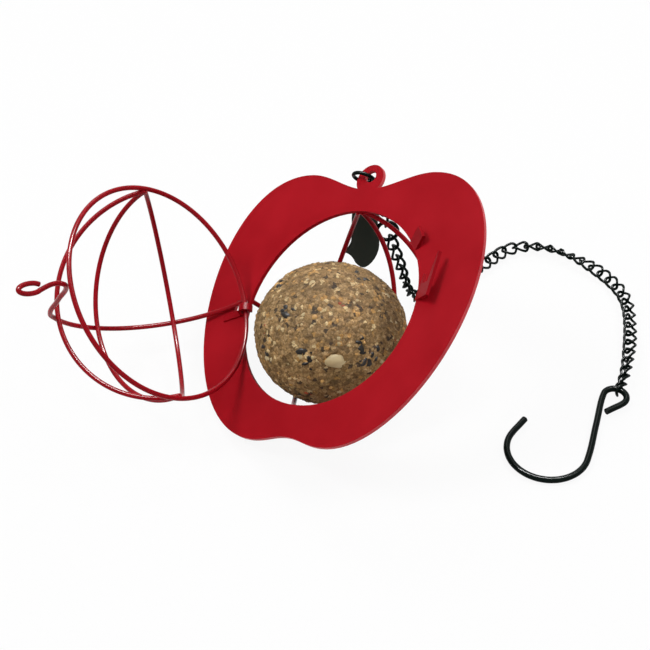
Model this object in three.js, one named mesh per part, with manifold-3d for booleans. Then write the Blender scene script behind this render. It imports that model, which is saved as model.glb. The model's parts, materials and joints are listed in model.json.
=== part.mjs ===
// Fat ball feeder: an apple-shaped steel plate with a round hole, a wire cage behind the hole, a wire
// door hinged at its left and a chain with a hook. It lies on its back with the door standing open.
// Millimetres, +Z up.

import * as THREE from 'three';
import { mergeVertices } from 'three/addons/utils/BufferGeometryUtils.js';
import Module from 'manifold-3d';

// Clearance between pieces that touch
const FIT_GAP = 0.3;

// Apple plate: right half of the outline, mirrored
const PLATE_THICKNESS = 1.8;
const HOLE_RADIUS = 45;
const APPLE_HALF_WIDTH = 71;
const WIDEST_HEIGHT = 14;
const DIP_HEIGHT = 55.5;
const SHOULDER_OFFSET = 34;
const SHOULDER_HEIGHT = 63.2;
const FOOT_OFFSET = 19;
const FOOT_DEPTH = 61.8;
const NOTCH_DEPTH = 59.1;

// Reach of the curve handles along the outline, from the dip at the top to the notch below
const DIP_HANDLE = 12;
const SHOULDER_INNER_HANDLE = 12;
const SHOULDER_OUTER_HANDLE = 24;
const SIDE_UPPER_HANDLE = 27;
const SIDE_LOWER_HANDLE = 39;
const FOOT_OUTER_HANDLE = 27;
const FOOT_INNER_HANDLE = 8;
const NOTCH_HANDLE = 7;

// Hanging ear on top of the apple
const EAR_RADIUS = 7;
const EAR_RISE = 5;
const EAR_HOLE_RADIUS = 2.8;
const EAR_HOLE_RISE = 1.2;

// Red wire of the cage and the door
const WIRE_DIAMETER = 2.1;
const DOOR_RING_RADIUS = 46.5;
const HOOP_ANGLES = [45, 90, 135];
const DOOR_HOOP_ANGLES = [53, 90, 135];

// Door hinge: a strap cut from the plate and curled over the door ring
const HINGE_LEAN = 18.4;
const HINGE_INSET = 0.9;
const HINGE_LIFT = 0.9;
const HINGE_DROP_ANGLE = 5.3;
const DOOR_OPEN_ANGLE = 101;
const STRAP_WIDTH = 3.2;
const STRAP_THICKNESS = 1.2;
const STRAP_PROUD = 0.8;
const STRAP_REACH = 13.5;
const STRAP_LIP_ANGLE = 35;
const WINDOW_WIDTH = 6.4;
const WINDOW_HEIGHT = 6.6;
const WINDOW_STRIP = 1.6;

// Catch tabs folded out of the right rim of the hole
const TAB_THICKNESS = 1.3;
const TAB_LEAN = 33;
const UPPER_TAB_ANGLE = 40;
const UPPER_TAB_WIDTH = 6;
const UPPER_TAB_LENGTH = 8.2;
const HOOK_TAB_HEIGHT = 7.9;
const HOOK_TAB_WIDTH = 6.8;
const HOOK_TAB_LENGTH = 11;
const HOOK_TAB_ARM = 12.6;
const HOOK_TAB_ARM_ROOT = 3.4;
const HOOK_TAB_ARM_TIP = 1.6;
const HOOK_TAB_PRONG = 5;
const HOOK_TAB_PRONG_ROOT = 2.6;
const HOOK_TAB_PRONG_TIP = 1.3;

// Cross wire of the door: straight from its bend to the ring, with a handle loop beyond the ring
const CROSS_BEND_ANGLE = 49;
const HANDLE_BEND = 2;
const HANDLE_STEM = 10;
const HANDLE_LOOP_LENGTH = 13.6;
const HANDLE_LOOP_WIDTH = 6.2;
const HANDLE_LOOP_DROP = 3.3;
const HANDLE_LOOP_TURN = -13;
const HANDLE_LOOP_START = 215;
const HANDLE_LOOP_END = 495;

// Food ball
const BALL_RADIUS = 33.5;
const BALL_HALF_HEIGHT = 30;
const BALL_SEAT_GAP = 0.1;
const BALL_SHIFT = [1.1, -1];
const BALL_LUMP = 0.9;
const BALL_LUMP_PITCH = 10;

// Black rings
const EAR_RING_SLACK = 2.2;
const RING_WIRE = 1.7;
const CHAIN_RING_RADIUS = 4.6;

// Leaf
const LEAF_THICKNESS = 1;
const LEAF_LENGTH = 45;
const LEAF_HALF_WIDTH = 7.4;
const LEAF_SPIKE_REACH = 11.5;
const LEAF_SPIKE_DEPTH = 31.7;
const LEAF_SPIKE_ROOT = 2.5;
const LEAF_EYELET_RADIUS = 4.7;
const LEAF_HOLE_RADIUS = 3.4;
const LEAF_TURN = 32;
const LEAF_RING_ANGLE = -18;

// Twisted chain links
const LINK_LENGTH = 8.75;
const LINK_WIDTH = 6.5;
const LINK_WIRE = 1.3;
const LINK_PLAY = 0.4;
const LINK_TWIST = 90;
const TOP_LINKS = 4;
const TOP_RING_ANGLE = 17;
const LONG_LINKS = 41;
const END_ROLL = 60;
const END_ROLL_LINKS = 10;
const START_ROLL_LINKS = 9;
const ROLL_SWAY = 44;
const ROLL_WAVE_LINKS = 12;

// Hook
const HOOK_WIRE = 2.8;
const HOOK_PLAY = 0.5;
const HOOK_BOWL_RADIUS = 17;
const HOOK_SHANK = 38.5;
const HOOK_TIP = 9;
const HOOK_TIP_ANGLE = 201;
const HOOK_EYE_RADIUS = 5;
const HOOK_TURN = -17;
const EYE_TAIL = 8.8;
const EYE_TAIL_ANGLE = -42;

// How the feeder lies: tilt, roll and turn of the plate
const LIE_TILT = 32.8;
const LIE_ROLL = -23.1;
const LIE_TURN = -34.4;

// Chain route: places from the middle of the hole, and heights above the floor where it hangs
const TOP_RUN_TARGET = [25.4, 51, 49];
const HANGING_ROUTE = [[33.1, 49.6, 26], [37.2, 51.3, 11], [40.5, 53.5, 5]];
const FLOOR_ROUTE = [
  [47, 58.5], [60, 68], [74.6, 79.5], [88.7, 91.8], [105.2, 92.6], [120.9, 82.6], [132.4, 69],
  [138.2, 54.3], [137.4, 33.1], [133.4, 12.8], [128.5, -3], [123.3, -13], [118, -23],
];

// Derived sizes
const WIRE_RADIUS = WIRE_DIAMETER / 2;
const WIRE_STEP = WIRE_DIAMETER + FIT_GAP;
const HOOP_RADIUS = DOOR_RING_RADIUS - WIRE_STEP / 2;
const CROSS_RADIUS = DOOR_RING_RADIUS + WIRE_STEP / 2;
const HINGE_HEIGHT = FIT_GAP + WIRE_RADIUS + HINGE_LIFT;
const EAR_HEIGHT = DIP_HEIGHT + EAR_RISE;
const EAR_HOLE_HEIGHT = EAR_HEIGHT + EAR_HOLE_RISE;
const EAR_RING_RADIUS = (EAR_RADIUS + EAR_RING_SLACK) / 2;
const LINK_PITCH = LINK_LENGTH - 2 * LINK_WIRE - LINK_PLAY;
const LINK_HALF = (LINK_LENGTH - LINK_WIRE) / 2;
const LINK_BEND = (LINK_WIDTH - LINK_WIRE) / 2;
const RING_SEAT = LINK_HALF - LINK_WIRE / 2 - RING_WIRE / 2 - FIT_GAP;
const HOOK_SEAT = LINK_HALF - LINK_WIRE / 2 - HOOK_WIRE / 2 - HOOK_PLAY;

const radians = THREE.MathUtils.degToRad;
const wasm = await Module();
wasm.setup();

// Materials
const redPaint = { color: '#a01622', roughness: 0.35, metalness: 0.1 };
const redWire = { color: '#a81a26', roughness: 0.25, metalness: 0.15 };
const blackSteel = { color: '#141c19', roughness: 0.4, metalness: 0.6 };
const darkLeaf = { color: '#242a26', roughness: 0.5, metalness: 0.4 };
const foodFat = { color: '#8a6a40', roughness: 0.85, metalness: 0 };

function piece(name, geometry, look) {
  const mesh = new THREE.Mesh(geometry, new THREE.MeshStandardMaterial(look));
  mesh.name = name;
  return mesh;
}

// Joining of solids
function toSolid(geometry) {
  geometry.deleteAttribute('normal');
  geometry.deleteAttribute('uv');
  const merged = mergeVertices(geometry, 1e-4);
  const vertProperties = new Float32Array(merged.attributes.position.array);
  const triVerts = new Uint32Array(merged.index.array);
  return new wasm.Manifold(new wasm.Mesh({ numProp: 3, vertProperties, triVerts }));
}

function toGeometry(solid) {
  const mesh = solid.getMesh();
  const geometry = new THREE.BufferGeometry();
  geometry.setAttribute('position', new THREE.BufferAttribute(mesh.vertProperties, 3));
  geometry.setIndex(new THREE.BufferAttribute(mesh.triVerts, 1));
  geometry.computeVertexNormals();
  return geometry;
}

// Round wires
function circle(radius, sides, shape = new THREE.Shape(), x = 0, y = 0) {
  for (let side = 0; side < sides; side += 1) {
    const angle = (2 * Math.PI * side) / sides;
    const point = [x + radius * Math.cos(angle), y + radius * Math.sin(angle)];
    if (side === 0) shape.moveTo(...point);
    else shape.lineTo(...point);
  }
  shape.closePath();
  return shape;
}

function wire(curve, diameter, steps, sides = 8) {
  const section = circle(diameter / 2, sides);
  return new THREE.ExtrudeGeometry(section, { extrudePath: curve, steps });
}

class HoopCurve extends THREE.Curve {
  constructor(radius, angle, start, drop = 1) {
    super();
    this.radius = radius;
    this.out = new THREE.Vector3(Math.cos(radians(angle)), 0, drop * Math.sin(radians(angle)));
    this.first = Math.asin(start / radius);
  }

  getPoint(t) {
    const angle = this.first + t * (Math.PI - 2 * this.first);
    const point = this.out.clone().multiplyScalar(this.radius * Math.sin(angle));
    point.y = this.radius * Math.cos(angle);
    return point;
  }
}

// Apple plate with its ear, hinge strap and catch tabs, lying in XY with its front face at z = 0
function appleOutline() {
  const shape = new THREE.Shape();
  const shoulderIn = SHOULDER_OFFSET - SHOULDER_INNER_HANDLE;
  const shoulderOut = SHOULDER_OFFSET + SHOULDER_OUTER_HANDLE;
  const sideUp = WIDEST_HEIGHT + SIDE_UPPER_HANDLE;
  const sideDown = WIDEST_HEIGHT - SIDE_LOWER_HANDLE;
  const footOut = FOOT_OFFSET + FOOT_OUTER_HANDLE;
  const footIn = FOOT_OFFSET - FOOT_INNER_HANDLE;
  const [dip, top, low, notch] = [DIP_HEIGHT, SHOULDER_HEIGHT, -FOOT_DEPTH, -NOTCH_DEPTH];
  const wide = APPLE_HALF_WIDTH;
  shape.moveTo(0, dip);
  shape.bezierCurveTo(-DIP_HANDLE, dip, -shoulderIn, top, -SHOULDER_OFFSET, top);
  shape.bezierCurveTo(-shoulderOut, top, -wide, sideUp, -wide, WIDEST_HEIGHT);
  shape.bezierCurveTo(-wide, sideDown, -footOut, low, -FOOT_OFFSET, low);
  shape.bezierCurveTo(-footIn, low, -NOTCH_HANDLE, notch, 0, notch);
  shape.bezierCurveTo(NOTCH_HANDLE, notch, footIn, low, FOOT_OFFSET, low);
  shape.bezierCurveTo(footOut, low, wide, sideDown, wide, WIDEST_HEIGHT);
  shape.bezierCurveTo(wide, sideUp, shoulderOut, top, SHOULDER_OFFSET, top);
  shape.bezierCurveTo(shoulderIn, top, DIP_HANDLE, dip, 0, dip);
  return shape;
}

const hingePoint = new THREE.Vector3(
  HINGE_INSET - HOLE_RADIUS,
  -DOOR_RING_RADIUS * Math.sin(radians(HINGE_DROP_ANGLE)),
  HINGE_HEIGHT,
);
const hingeAxis = new THREE.Vector3(Math.sin(radians(HINGE_LEAN)), -Math.cos(radians(HINGE_LEAN)), 0);
const windowRight = -HOLE_RADIUS - WINDOW_STRIP;
const windowTop = hingePoint.y + WINDOW_HEIGHT / 2 + STRAP_WIDTH / 2;

function plateSheet() {
  const shape = appleOutline();
  shape.holes.push(circle(HOLE_RADIUS, 72, new THREE.Path()));
  const window = new THREE.Path();
  window.moveTo(windowRight, windowTop);
  window.lineTo(windowRight - WINDOW_WIDTH, windowTop);
  window.lineTo(windowRight - WINDOW_WIDTH, windowTop - WINDOW_HEIGHT);
  window.lineTo(windowRight, windowTop - WINDOW_HEIGHT);
  window.closePath();
  shape.holes.push(window);
  const sheet = { depth: PLATE_THICKNESS, bevelEnabled: false, curveSegments: 24 };
  const geometry = new THREE.ExtrudeGeometry(shape, sheet);
  geometry.translate(0, 0, -PLATE_THICKNESS);
  return toSolid(geometry);
}

function ear() {
  const shape = circle(EAR_RADIUS, 36, new THREE.Shape(), 0, EAR_HEIGHT);
  shape.holes.push(circle(EAR_HOLE_RADIUS, 20, new THREE.Path(), 0, EAR_HOLE_HEIGHT));
  const geometry = new THREE.ExtrudeGeometry(shape, { depth: PLATE_THICKNESS, bevelEnabled: false });
  geometry.translate(0, 0, -PLATE_THICKNESS);
  return toSolid(geometry);
}

function hingeStrap() {
  const inner = WIRE_RADIUS + FIT_GAP + (STRAP_WIDTH / 2) * Math.tan(radians(HINGE_LEAN));
  const outer = inner + STRAP_THICKNESS;
  const lip = -radians(STRAP_LIP_ANGLE);
  const under = STRAP_PROUD - STRAP_THICKNESS;
  const shape = new THREE.Shape();
  shape.moveTo(-STRAP_REACH, under);
  shape.lineTo(-inner, under);
  shape.lineTo(-inner, HINGE_HEIGHT);
  shape.absarc(0, HINGE_HEIGHT, inner, Math.PI, lip, true);
  shape.lineTo(outer * Math.cos(lip), HINGE_HEIGHT + outer * Math.sin(lip));
  shape.absarc(0, HINGE_HEIGHT, outer, lip, Math.PI, false);
  shape.lineTo(-outer, HINGE_HEIGHT);
  shape.lineTo(-outer - STRAP_THICKNESS, STRAP_PROUD);
  shape.lineTo(-STRAP_REACH, STRAP_PROUD);
  shape.closePath();
  const geometry = new THREE.ExtrudeGeometry(shape, {
    depth: STRAP_WIDTH, bevelEnabled: false, curveSegments: 8,
  });
  geometry.translate(0, 0, -STRAP_WIDTH / 2);
  geometry.rotateX(Math.PI / 2);
  geometry.rotateZ(radians(HINGE_LEAN));
  geometry.translate(hingePoint.x, hingePoint.y, 0);
  return toSolid(geometry);
}

// A tab outline lies along the slope in x and along the rim in y
function leaningTab(shape) {
  const geometry = new THREE.ExtrudeGeometry(shape, { depth: TAB_THICKNESS, bevelEnabled: false });
  geometry.rotateY(-radians(TAB_LEAN));
  const sunk = TAB_THICKNESS;
  geometry.translate(sunk * Math.sin(radians(TAB_LEAN)), 0, -sunk * Math.cos(radians(TAB_LEAN)));
  return geometry;
}

function upperTab() {
  const half = UPPER_TAB_WIDTH / 2;
  const shape = new THREE.Shape();
  shape.moveTo(-TAB_THICKNESS / 2, -half);
  shape.lineTo(UPPER_TAB_LENGTH, -half);
  shape.lineTo(UPPER_TAB_LENGTH, half);
  shape.lineTo(-TAB_THICKNESS / 2, half);
  shape.closePath();
  const geometry = leaningTab(shape);
  geometry.translate(HOLE_RADIUS, 0, 0);
  geometry.rotateZ(radians(UPPER_TAB_ANGLE));
  return toSolid(geometry);
}

function hookTab() {
  const half = HOOK_TAB_WIDTH / 2;
  const tip = half + HOOK_TAB_ARM;
  const shape = new THREE.Shape();
  shape.moveTo(-TAB_THICKNESS / 2, -half);
  shape.lineTo(HOOK_TAB_LENGTH, -half);
  shape.lineTo(HOOK_TAB_LENGTH, tip);
  shape.lineTo(HOOK_TAB_LENGTH - HOOK_TAB_ARM_TIP, tip);
  shape.lineTo(HOOK_TAB_LENGTH - HOOK_TAB_ARM_ROOT, half);
  shape.lineTo(HOOK_TAB_PRONG_ROOT, half);
  shape.lineTo(HOOK_TAB_PRONG_TIP, half + HOOK_TAB_PRONG);
  shape.lineTo(-TAB_THICKNESS / 2, half + HOOK_TAB_PRONG);
  shape.closePath();
  const geometry = leaningTab(shape);
  const rim = Math.sqrt(HOLE_RADIUS ** 2 - HOOK_TAB_HEIGHT ** 2);
  geometry.translate(rim, HOOK_TAB_HEIGHT, 0);
  return toSolid(geometry);
}

const applePlate = toGeometry(plateSheet().add(ear()).add(hingeStrap()).add(upperTab()).add(hookTab()));

// The feeder in its own axes: plate in XY, front towards +Z
const feeder = new THREE.Group();
feeder.rotation.set(radians(LIE_TILT), radians(LIE_ROLL), radians(LIE_TURN), 'ZYX');
feeder.add(piece('apple_plate', applePlate, redPaint));

// Rear cage
const rearCage = new THREE.Group();
const behindPlate = PLATE_THICKNESS + FIT_GAP;
HOOP_ANGLES.forEach((angle, index) => {
  const lean = Math.abs(Math.cos(radians(angle)));
  const start = (behindPlate + WIRE_RADIUS * lean) / Math.sin(radians(angle));
  const geometry = wire(new HoopCurve(HOOP_RADIUS, angle, start, -1), WIRE_DIAMETER, 26);
  rearCage.add(piece(`rear_hoop_${index + 1}`, geometry, redWire));
});
const rearCrossHeight = windowTop + WIRE_RADIUS + FIT_GAP;
const rearCrossRadius = Math.sqrt(HOOP_RADIUS ** 2 - rearCrossHeight ** 2) + WIRE_STEP;
const rearCross = wire(new HoopCurve(rearCrossRadius, 90, behindPlate, -1), WIRE_DIAMETER, 26);
rearCross.rotateZ(Math.PI / 2);
rearCross.translate(0, rearCrossHeight, 0);
rearCage.add(piece('rear_cross_hoop', rearCross, redWire));
feeder.add(rearCage);

// Door, built shut about the middle of its ring and swung open about the hinge
const door = new THREE.Group();
door.position.copy(hingePoint);
door.quaternion.setFromAxisAngle(hingeAxis, radians(DOOR_OPEN_ANGLE));
const doorBody = new THREE.Group();
doorBody.position.set(
  DOOR_RING_RADIUS * Math.cos(radians(HINGE_DROP_ANGLE)),
  DOOR_RING_RADIUS * Math.sin(radians(HINGE_DROP_ANGLE)),
  0,
);
door.add(doorBody);
feeder.add(door);
doorBody.add(piece('door_ring', new THREE.TorusGeometry(DOOR_RING_RADIUS, WIRE_RADIUS, 8, 56), redWire));
DOOR_HOOP_ANGLES.forEach((angle, index) => {
  const start = angle === 90 ? WIRE_RADIUS + FIT_GAP : WIRE_STEP / Math.abs(Math.cos(radians(angle)));
  const geometry = wire(new HoopCurve(HOOP_RADIUS, angle, start), WIRE_DIAMETER, 26);
  doorBody.add(piece(`door_hoop_${index + 1}`, geometry, redWire));
});

function crossWireCurve() {
  const points = [];
  const level = WIRE_STEP;
  const first = Math.asin((WIRE_RADIUS + FIT_GAP) / CROSS_RADIUS);
  const last = Math.PI - radians(CROSS_BEND_ANGLE);
  const arcSteps = 18;
  for (let step = 0; step <= arcSteps; step += 1) {
    const angle = first + ((last - first) * step) / arcSteps;
    points.push(new THREE.Vector3(-CROSS_RADIUS * Math.cos(angle), 0, CROSS_RADIUS * Math.sin(angle)));
  }
  const bend = points.at(-1);
  const corner = new THREE.Vector3(DOOR_RING_RADIUS, 0, level);
  const beforeCorner = 1 - HANDLE_BEND / bend.distanceTo(corner);
  for (const share of [1 / 3, 2 / 3, beforeCorner]) points.push(bend.clone().lerp(corner, share));
  const stemEnd = DOOR_RING_RADIUS + HANDLE_STEM;
  for (const x of [DOOR_RING_RADIUS + HANDLE_BEND, DOOR_RING_RADIUS + HANDLE_STEM / 2, stemEnd]) {
    points.push(new THREE.Vector3(x, 0, level));
  }
  const halfLength = (HANDLE_LOOP_LENGTH - WIRE_DIAMETER) / 2;
  const halfWidth = (HANDLE_LOOP_WIDTH - WIRE_DIAMETER) / 2;
  const middle = new THREE.Vector3(stemEnd + WIRE_DIAMETER + halfLength, -HANDLE_LOOP_DROP, level);
  const loopAxis = new THREE.Vector3(0, 0, 1);
  for (let angle = HANDLE_LOOP_START; angle <= HANDLE_LOOP_END; angle += 20) {
    const x = halfLength * Math.cos(radians(angle));
    const place = new THREE.Vector3(x, halfWidth * Math.sin(radians(angle)), 0);
    points.push(place.applyAxisAngle(loopAxis, radians(HANDLE_LOOP_TURN)).add(middle));
  }
  return new THREE.CatmullRomCurve3(points);
}
doorBody.add(piece('door_cross_wire', wire(crossWireCurve(), WIRE_DIAMETER, 64), redWire));

// Ring through the ear
const earRing = piece('ear_ring', new THREE.TorusGeometry(EAR_RING_RADIUS, RING_WIRE / 2, 6, 20), blackSteel);
earRing.rotation.x = Math.PI / 2;
earRing.position.set(-EAR_RING_RADIUS, EAR_HOLE_HEIGHT, -PLATE_THICKNESS / 2);
feeder.add(earRing);

// Set the feeder down on the floor, z = 0
const feederBox = new THREE.Box3().setFromObject(feeder, true);
feeder.position.z = -feederBox.min.z;
feeder.updateMatrixWorld(true);

const object = new THREE.Group();
object.add(feeder);

// Food ball at the bottom of the cage: a ball with shallow lumps where seeds stand in its surface
function lumpyBall() {
  const around = Math.round((2 * Math.PI * BALL_RADIUS) / BALL_LUMP_PITCH) * 2;
  const geometry = new THREE.SphereGeometry(1, around, around / 2);
  geometry.rotateX(Math.PI / 2);
  const place = geometry.attributes.position;
  const point = new THREE.Vector3();
  for (let index = 0; index < place.count; index += 1) {
    point.fromBufferAttribute(place, index);
    const turn = Math.atan2(point.y, point.x) * (around / 4);
    const rise = Math.acos(THREE.MathUtils.clamp(point.z, -1, 1)) * (around / 4);
    const lump = 0.5 + 0.5 * Math.cos(2 * turn) * Math.cos(2 * rise) * (1 - point.z ** 2);
    const size = BALL_RADIUS - BALL_LUMP * (1 - lump);
    place.setXYZ(index, point.x * size, point.y * size, (point.z * size * BALL_HALF_HEIGHT) / BALL_RADIUS);
  }
  geometry.computeVertexNormals();
  return geometry;
}

const ball = piece('fat_ball', lumpyBall(), foodFat);
ball.position.copy(feeder.position);
ball.position.x += BALL_SHIFT[0];
ball.position.y += BALL_SHIFT[1];
ball.position.z -= HOOP_RADIUS - WIRE_RADIUS - BALL_HALF_HEIGHT - BALL_SEAT_GAP;
object.add(ball);

// A place on the ear ring, by its angle from the rearmost point towards the right
function earRingPoint(angle) {
  const place = new THREE.Vector3(
    EAR_RING_RADIUS * Math.sin(radians(angle)),
    0,
    -EAR_RING_RADIUS * Math.cos(radians(angle)),
  );
  return feeder.localToWorld(place.add(earRing.position));
}

// Leaf, hung by its eyelet
function leafOutline() {
  const shape = new THREE.Shape();
  const [wide, eyelet] = [LEAF_HALF_WIDTH, LEAF_EYELET_RADIUS];
  shape.moveTo(eyelet, 0);
  shape.absarc(0, 0, eyelet, 0, Math.PI, false);
  shape.bezierCurveTo(-eyelet, -LEAF_LENGTH / 8, -wide, -LEAF_LENGTH / 8, -wide, -LEAF_LENGTH / 3);
  shape.lineTo(-wide, -LEAF_LENGTH * 0.58);
  shape.quadraticCurveTo(-wide, -LEAF_SPIKE_DEPTH + LEAF_SPIKE_ROOT, -LEAF_SPIKE_REACH, -LEAF_SPIKE_DEPTH);
  shape.quadraticCurveTo(-wide, -LEAF_SPIKE_DEPTH - LEAF_SPIKE_ROOT, -wide * 0.7, -LEAF_LENGTH * 0.9);
  shape.quadraticCurveTo(-wide * 0.3, -LEAF_LENGTH, 0, -LEAF_LENGTH);
  shape.bezierCurveTo(wide * 0.5, -LEAF_LENGTH, wide, -LEAF_LENGTH * 0.9, wide, -LEAF_LENGTH * 0.78);
  shape.bezierCurveTo(wide, -LEAF_LENGTH * 0.55, eyelet, -LEAF_LENGTH * 0.4, eyelet, 0);
  return shape;
}
const leafShape = leafOutline();
leafShape.holes.push(circle(LEAF_HOLE_RADIUS, 16, new THREE.Path()));
const leafGeometry = new THREE.ExtrudeGeometry(leafShape, {
  depth: LEAF_THICKNESS, bevelEnabled: false, curveSegments: 6,
});
leafGeometry.translate(0, 0, -LEAF_THICKNESS / 2);
leafGeometry.rotateX(Math.PI / 2);
const leaf = piece('leaf', leafGeometry, darkLeaf);
leaf.rotation.z = radians(LEAF_TURN);
leaf.position.copy(earRingPoint(LEAF_RING_ANGLE));
leaf.position.z -= LEAF_HOLE_RADIUS - RING_WIRE / 2 - 1.5 * FIT_GAP;
object.add(leaf);

// One twisted link along X: a ring drawn out to an oval and turned along its length
function twistedLink() {
  const geometry = new THREE.TorusGeometry(LINK_BEND, LINK_WIRE / 2, 5, 12);
  const place = geometry.attributes.position;
  const stretch = LINK_HALF - LINK_BEND;
  const axis = new THREE.Vector3(1, 0, 0);
  const point = new THREE.Vector3();
  for (let index = 0; index < place.count; index += 1) {
    point.fromBufferAttribute(place, index);
    if (Math.abs(point.x) > 1e-4) point.x += Math.sign(point.x) * stretch;
    const share = THREE.MathUtils.clamp(point.x / (2 * LINK_HALF), -0.5, 0.5);
    point.applyAxisAngle(axis, radians(LINK_TWIST) * share);
    place.setXYZ(index, point.x, point.y, point.z);
  }
  geometry.computeVertexNormals();
  return geometry;
}

let linkCount = 0;
function addLink(centre, along, side) {
  linkCount += 1;
  const link = piece(`chain_link_${String(linkCount).padStart(2, '0')}`, twistedLink(), blackSteel);
  const lift = along.clone().cross(side).normalize();
  const across = lift.clone().cross(along);
  link.position.copy(centre);
  link.quaternion.setFromRotationMatrix(new THREE.Matrix4().makeBasis(along, across, lift));
  object.add(link);
}

// The part of a direction that is square to another
function squareTo(direction, along) {
  return direction.clone().addScaledVector(along, -direction.dot(along)).normalize();
}

// Signed angle from one direction to another, turning about an axis
function angleAbout(axis, from, to) {
  return Math.atan2(axis.dot(from.clone().cross(to)), from.dot(to));
}

// Nearest equal angle, because an oval looks the same after half a turn
function halfTurn(angle) {
  return angle - Math.PI * Math.round(angle / Math.PI);
}

// Short run from the ear ring to the chain ring
const halfTwist = radians(LINK_TWIST) / 2;
const plateUp = new THREE.Vector3(0, 1, 0).transformDirection(feeder.matrixWorld);
const topStart = earRingPoint(TOP_RING_ANGLE);
const topAlong = new THREE.Vector3(...TOP_RUN_TARGET).sub(topStart).normalize();
const earSide = squareTo(plateUp, topAlong);
const ringSide = squareTo(new THREE.Vector3(0, 1, 0), topAlong);
const topFirst = halfTwist;
const topTurn = halfTurn(angleAbout(topAlong, earSide, ringSide) - 2 * halfTwist);
for (let index = 0; index < TOP_LINKS; index += 1) {
  const centre = topStart.clone().addScaledVector(topAlong, RING_SEAT + index * LINK_PITCH);
  const roll = topFirst + (topTurn * index) / Math.max(1, TOP_LINKS - 1);
  addLink(centre, topAlong, earSide.clone().applyAxisAngle(topAlong, roll));
}

// Chain ring
const topLength = 2 * RING_SEAT + (TOP_LINKS - 1) * LINK_PITCH;
const chainRingTop = topStart.clone().addScaledVector(topAlong, topLength);
const chainRingCentre = chainRingTop.clone().addScaledVector(topAlong, CHAIN_RING_RADIUS);
const chainRingGeometry = new THREE.TorusGeometry(CHAIN_RING_RADIUS, RING_WIRE / 2, 6, 20);
const chainRing = piece('chain_ring', chainRingGeometry, blackSteel);
const ringAcross = ringSide.clone().cross(topAlong);
chainRing.position.copy(chainRingCentre);
chainRing.quaternion.setFromRotationMatrix(new THREE.Matrix4().makeBasis(topAlong, ringAcross, ringSide));
object.add(chainRing);

// Long run from the chain ring over the floor to the hook
const hanging = HANGING_ROUTE.map((place) => new THREE.Vector3(...place));
const toFirst = squareTo(hanging[0].clone().sub(chainRingCentre), ringSide);
const longStart = chainRingCentre.clone().addScaledVector(toFirst, CHAIN_RING_RADIUS);
const uprightHeight = LINK_BEND + LINK_WIRE / 2;
const floorPoints = FLOOR_ROUTE.map(([x, y]) => new THREE.Vector3(x, y, uprightHeight));
const lead = longStart.clone().addScaledVector(toFirst, RING_SEAT - LINK_PITCH / 2);
const route = new THREE.CatmullRomCurve3([lead, ...hanging, ...floorPoints]);
route.arcLengthDivisions = 2000;

// Joints of the chain lie one pitch apart in a straight line
function chainJoints(count) {
  const samples = route.getSpacedPoints(6000);
  const joints = [samples[0]];
  for (const sample of samples) {
    if (joints.length <= count && sample.distanceTo(joints.at(-1)) >= LINK_PITCH) joints.push(sample);
  }
  return joints;
}
const joints = chainJoints(LONG_LINKS);
const alongs = joints.slice(1).map((joint, index) => joint.clone().sub(joints[index]).normalize());

// Sides of the links, carried back from the floor so that the links turn as little as they can
const sides = [];
const up = new THREE.Vector3(0, 0, 1);
let side = up.clone().cross(alongs.at(-1)).normalize();
for (let index = alongs.length - 1; index >= 0; index -= 1) {
  const flat = Math.abs(alongs[index].z) < 0.05;
  side = flat ? up.clone().cross(alongs[index]).normalize() : squareTo(side, alongs[index]);
  sides[index] = side;
}
const startRoll = halfTurn(angleAbout(alongs[0], sides[0], squareTo(ringSide, alongs[0])) + halfTwist);
alongs.forEach((along, index) => {
  const centre = joints[index].clone().lerp(joints[index + 1], 0.5);
  const fade = Math.max(0, 1 - index / START_ROLL_LINKS);
  const rise = Math.max(0, (index - LONG_LINKS + 1 + END_ROLL_LINKS) / END_ROLL_LINKS);
  const settled = THREE.MathUtils.smoothstep(index, START_ROLL_LINKS, 2 * START_ROLL_LINKS);
  const sway = settled * (1 - rise) * Math.sin((2 * Math.PI * index) / ROLL_WAVE_LINKS);
  const roll = startRoll * fade + radians(END_ROLL) * rise + radians(ROLL_SWAY) * sway;
  addLink(centre, along, sides[index].clone().applyAxisAngle(along, roll));
});

// Hook, lying flat with its eye in the last link
function hookCurve() {
  const points = [];
  const shankX = -HOOK_EYE_RADIUS;
  const tailAngle = radians(EYE_TAIL_ANGLE);
  const tail = new THREE.Vector3(Math.sin(tailAngle), -Math.cos(tailAngle), 0);
  const eyeEnd = new THREE.Vector3(Math.cos(tailAngle), Math.sin(tailAngle), 0).multiplyScalar(HOOK_EYE_RADIUS);
  points.push(eyeEnd.clone().addScaledVector(tail, EYE_TAIL));
  points.push(eyeEnd.clone().addScaledVector(tail, EYE_TAIL / 2));
  for (let step = 0; step <= 8; step += 1) {
    const angle = tailAngle + ((Math.PI - tailAngle) * step) / 8;
    points.push(new THREE.Vector3(HOOK_EYE_RADIUS * Math.cos(angle), HOOK_EYE_RADIUS * Math.sin(angle), 0));
  }
  points.push(new THREE.Vector3(shankX, -HOOK_SHANK / 2, 0));
  const bowl = new THREE.Vector3(shankX - HOOK_BOWL_RADIUS, -HOOK_SHANK, 0);
  const sweep = radians(HOOK_TIP_ANGLE);
  for (let step = 0; step <= 14; step += 1) {
    const angle = (-sweep * step) / 14;
    const x = bowl.x + HOOK_BOWL_RADIUS * Math.cos(angle);
    points.push(new THREE.Vector3(x, bowl.y + HOOK_BOWL_RADIUS * Math.sin(angle), 0));
  }
  const tip = new THREE.Vector3(-Math.sin(sweep), Math.abs(Math.cos(sweep)), 0);
  points.push(points.at(-1).clone().addScaledVector(tip, HOOK_TIP / 2));
  points.push(points.at(-2).clone().addScaledVector(tip, HOOK_TIP));
  return new THREE.CatmullRomCurve3(points);
}
const hook = piece('hook', wire(hookCurve(), HOOK_WIRE, 56), blackSteel);
const lastAlong = alongs.at(-1);
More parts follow.
